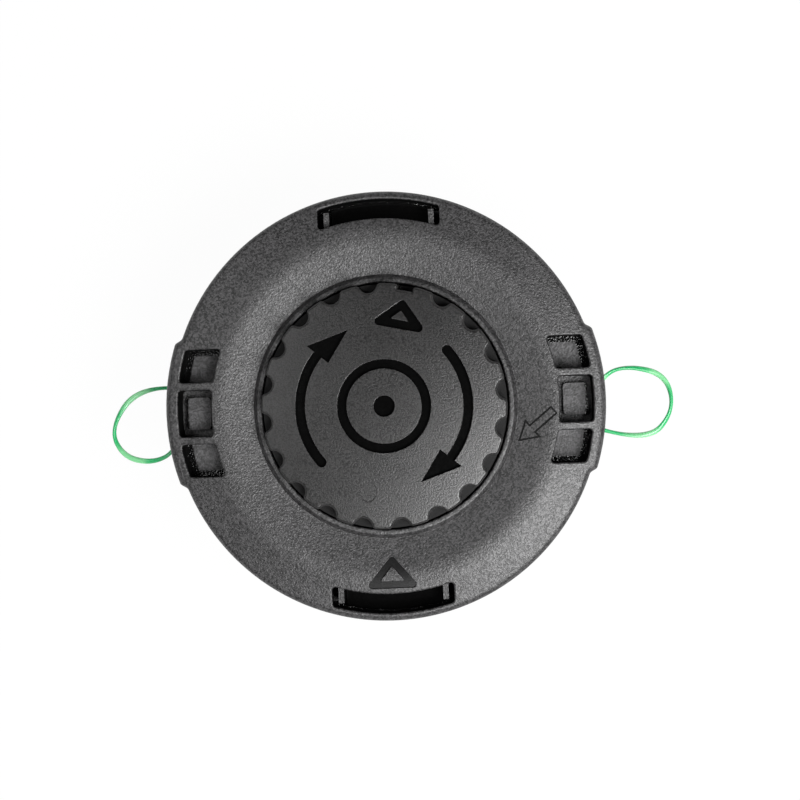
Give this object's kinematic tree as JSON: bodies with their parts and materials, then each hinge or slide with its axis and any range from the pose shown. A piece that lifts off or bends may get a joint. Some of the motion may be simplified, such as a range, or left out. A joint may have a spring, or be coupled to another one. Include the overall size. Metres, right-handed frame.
{
  "type": "trimmer head",
  "caption": "Round bump-feed trimmer head: domed notched knob with turning arrows, crowned cover with latch slots and side pockets, spool, spring and looped cutting line.",
  "frame": {"origin": "centre of the back ring's end, on the spin axis", "axes": "+Z along the spin axis out of the knob, +X through the right eyelet, +Y through a latch slot"},
  "size_m": [0.1533, 0.11, 0.06],
  "materials": {
    "black_nylon": "matte",
    "grained_nylon": "grained",
    "satin_nylon": "satin",
    "steel": "zinc plated",
    "alloy": "satin",
    "green_line": "translucent"
  },
  "bodies": {
    "housing": {"housing": "black_nylon", "cover": "grained_nylon", "arbor_insert": "steel", "spring": "steel", "eyelet_right": "alloy", "eyelet_left": "alloy", "line_lead_right": "green_line", "line_lead_left": "green_line", "line_loop_right": "green_line", "line_loop_left": "green_line"},
    "carriage": {"spring_seat": "steel"},
    "spool": {"spool": "black_nylon", "bump_knob": "satin_nylon", "knob_screws": "steel", "line_pack_back": "green_line", "line_pack_front": "green_line"}
  },
  "joints": [
    {"name": "bump", "type": "slide", "parent": "housing", "child": "carriage", "axis": [0, 0, -1], "range_m": [0, 0.0045], "stiffness_N_per_m": 410, "springref_m": -0.023, "deforming": ["spring"]},
    {"name": "wind", "type": "hinge", "parent": "carriage", "child": "spool", "pos_m": [0, 0, 0.03], "axis": [0, 0, 1], "continuous": true}
  ]
}
